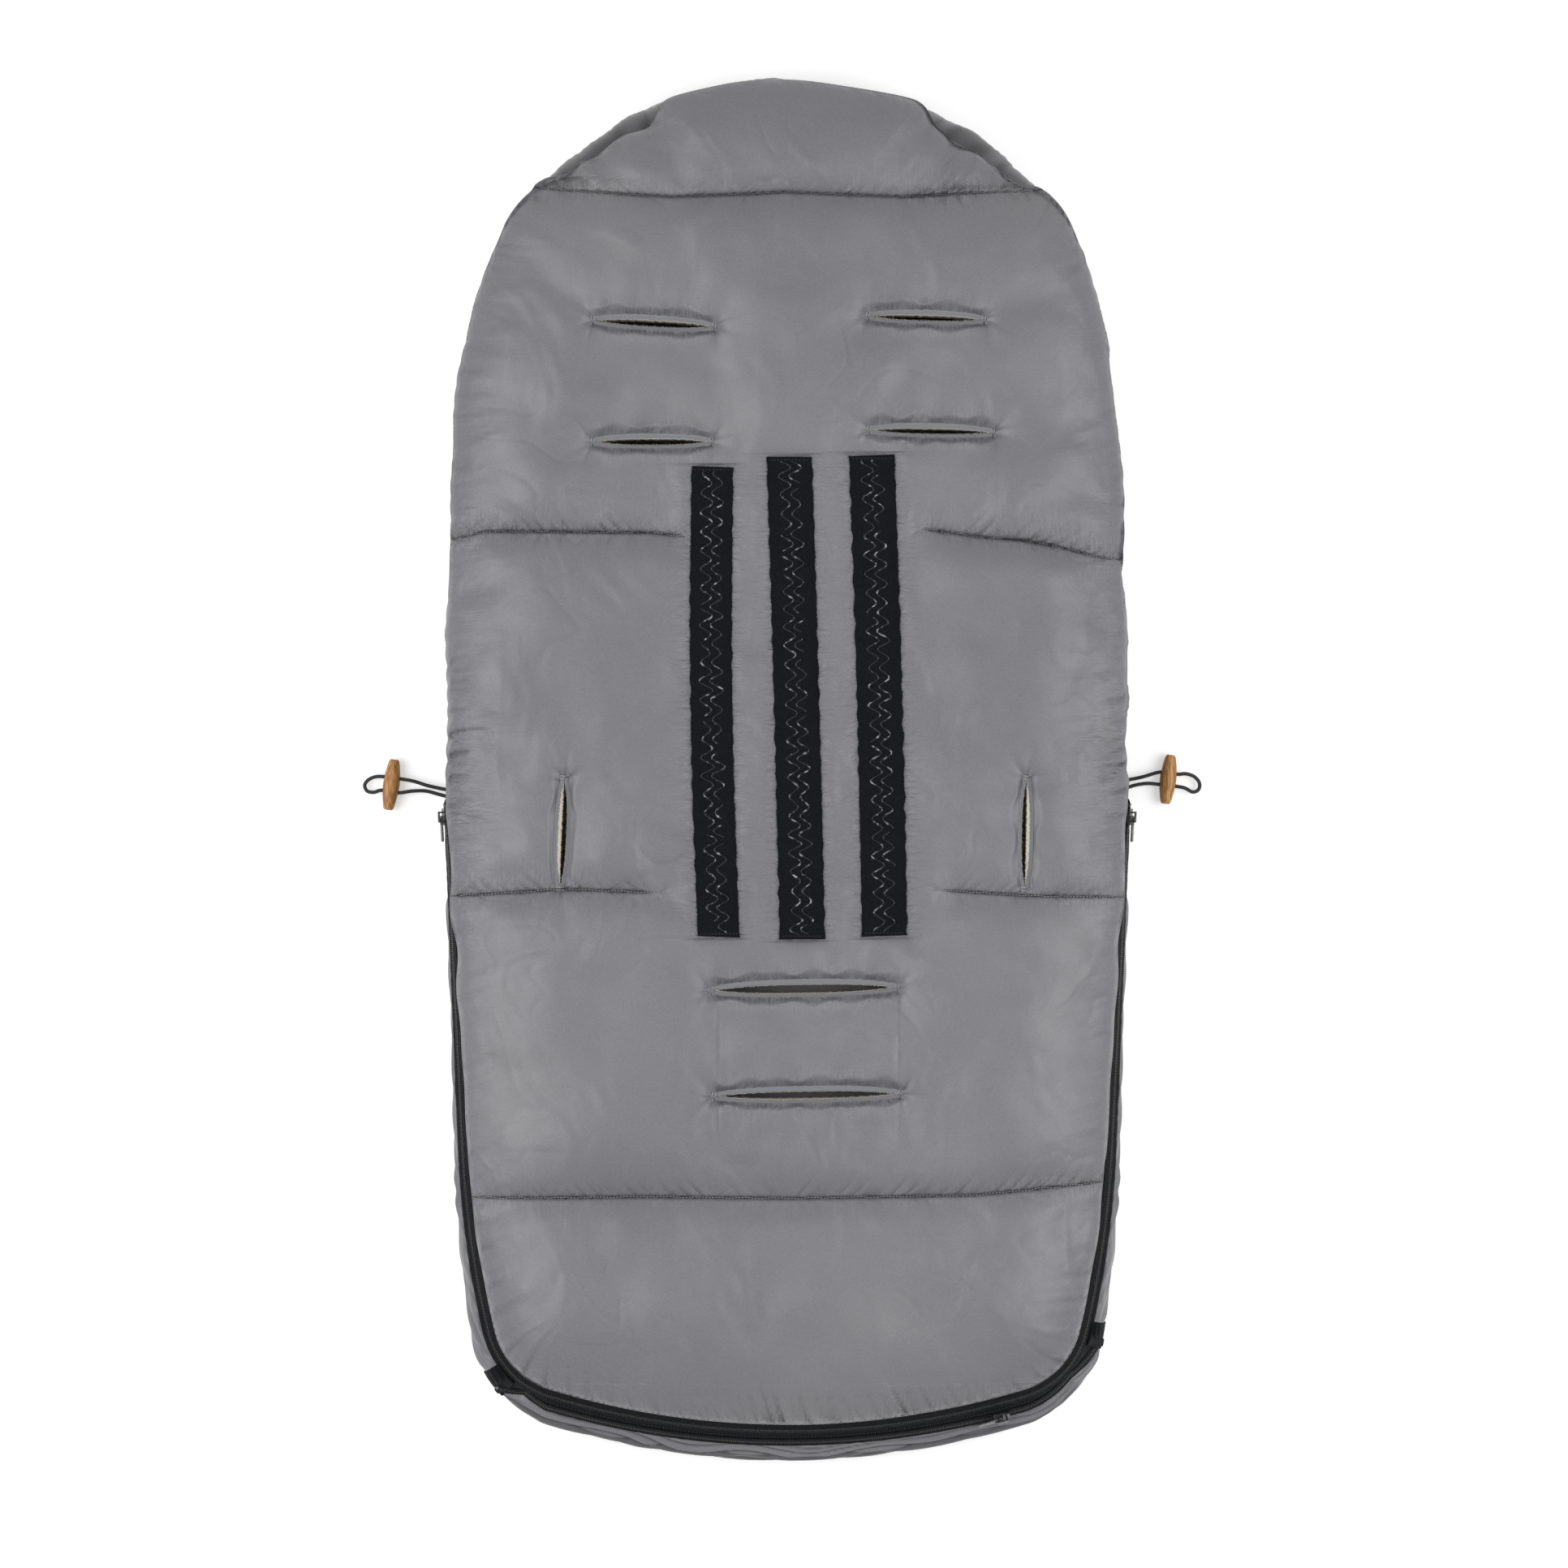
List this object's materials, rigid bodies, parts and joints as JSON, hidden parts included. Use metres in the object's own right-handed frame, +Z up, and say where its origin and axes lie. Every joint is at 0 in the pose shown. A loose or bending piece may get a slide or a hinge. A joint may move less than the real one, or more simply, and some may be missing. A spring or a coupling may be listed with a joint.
{
  "type": "stroller footmuff",
  "caption": "Quilted grey stroller footmuff lying face-down, with harness slots, grip tapes, zips and wooden toggles.",
  "frame": {"origin": "on the floor under the middle of the footmuff's body, without its cords", "axes": "+Z up out of the back panel, +Y towards the head end, +X to the right seen from above; the cover lies on the floor"},
  "size_m": [0.612, 1.0002, 0.1044],
  "materials": {
    "shell_fabric": "satin woven polyester",
    "lining_fleece": "matt brushed fleece",
    "wadding": "matt loose fibre",
    "black_tape": "matt woven tape",
    "zip_coil": "satin nylon",
    "slider_metal": "black lacquer",
    "stitching": "dense satin stitch",
    "elastic_cord": "braided cover over rubber",
    "toggle_wood": "satin, grain along the barrel"
  },
  "bodies": {
    "cover": {"cover_shell": "shell_fabric", "cover_top_edge": "shell_fabric", "cover_lining": "lining_fleece", "cover_wadding": "wadding", "main_zip_front_tape_left": "black_tape", "main_zip_front_tape_right": "black_tape", "foot_zip_upper_tape": "black_tape", "foot_zip_lower_tape": "black_tape", "foot_gusset": "black_tape", "main_zip_front_coil_left": "zip_coil", "main_zip_front_coil_right": "zip_coil", "foot_zip_upper_coil": "zip_coil", "foot_zip_lower_coil": "zip_coil", "main_zip_top_stop_left": "slider_metal", "main_zip_top_stop_right": "slider_metal", "foot_zip_end_stop_left": "slider_metal", "foot_zip_end_stop_right": "slider_metal"},
    "back": {"back_shell": "shell_fabric", "back_lining": "lining_fleece", "head_wadding": "wadding", "body_wadding": "wadding", "foot_wadding": "wadding", "shoulder_slot_edge_upper_left": "stitching", "shoulder_slot_edge_upper_right": "stitching", "shoulder_slot_edge_lower_left": "stitching", "shoulder_slot_edge_lower_right": "stitching", "waist_slot_edge_left": "stitching", "waist_slot_edge_right": "stitching", "crotch_slot_edge_upper": "stitching", "crotch_slot_edge_lower": "stitching", "left_grip_tape": "black_tape", "middle_grip_tape": "black_tape", "right_grip_tape": "black_tape", "hood_wall_shell": "shell_fabric", "hood_wall_lining": "lining_fleece", "hood_hem": "shell_fabric", "hem_drawcord": "elastic_cord", "left_cord_loop": "elastic_cord", "right_cord_loop": "elastic_cord", "main_zip_back_tape": "black_tape", "main_zip_back_coil": "zip_coil", "main_zip_front_tape_foot": "black_tape", "main_zip_front_coil_foot": "zip_coil"},
    "left_slider": {"left_zip_slider": "slider_metal"},
    "right_slider": {"right_zip_slider": "slider_metal"},
    "foot_slider": {"foot_zip_slider": "slider_metal"},
    "left_pull": {"left_zip_pull": "slider_metal"},
    "right_pull": {"right_zip_pull": "slider_metal"},
    "foot_pull": {"foot_zip_pull": "slider_metal"},
    "left_toggle_body": {"left_toggle": "toggle_wood"},
    "right_toggle_body": {"right_toggle": "toggle_wood"}
  },
  "joints": [
    {"name": "back_open", "type": "hinge", "parent": "cover", "child": "back", "pos_m": [0, -0.4865, 0.05], "axis": [1, 0, 0], "range_deg": [0, 170]},
    {"name": "left_slider_travel", "type": "slide", "parent": "cover", "child": "left_slider", "axis": [0.0496, -0.9988, 0], "range_m": [0, 0.2325]},
    {"name": "right_slider_travel", "type": "slide", "parent": "cover", "child": "right_slider", "axis": [-0.0496, -0.9988, 0], "range_m": [0, 0.2325]},
    {"name": "foot_slider_travel", "type": "hinge", "parent": "cover", "child": "foot_slider", "pos_m": [0, 0.12487, 0.0466], "axis": [0, 0, -1], "range_deg": [0, 29]},
    {"name": "left_pull_swing", "type": "hinge", "parent": "left_slider", "child": "left_pull", "pos_m": [-0.24998, -0.0332, 0.05654], "axis": [-0.2585, -0.0128, -0.9659], "range_deg": [0, 170]},
    {"name": "right_pull_swing", "type": "hinge", "parent": "right_slider", "child": "right_pull", "pos_m": [0.24998, -0.0332, 0.05654], "axis": [-0.2585, 0.0128, 0.9659], "range_deg": [0, 170]},
    {"name": "foot_pull_swing", "type": "hinge", "parent": "foot_slider", "child": "foot_pull", "pos_m": [0.15595, -0.46956, 0.04845], "axis": [-0.1128, 0.4301, 0.8957], "range_deg": [0, 170]},
    {"name": "left_toggle_slide", "type": "slide", "parent": "back", "child": "left_toggle_body", "axis": [0.9919, -0.1271, 0], "range_m": [-0.01, 0.026], "deforming": ["left_cord_loop"]},
    {"name": "right_toggle_slide", "type": "slide", "parent": "back", "child": "right_toggle_body", "axis": [-0.9934, 0.1149, 0], "range_m": [-0.01, 0.026], "deforming": ["right_cord_loop"]}
  ],
  "couplings": [
    {"joint": "left_slider_travel", "follows": "back_open", "m_per_rad": 0.0782},
    {"joint": "right_slider_travel", "follows": "back_open", "m_per_rad": 0.0782}
  ]
}
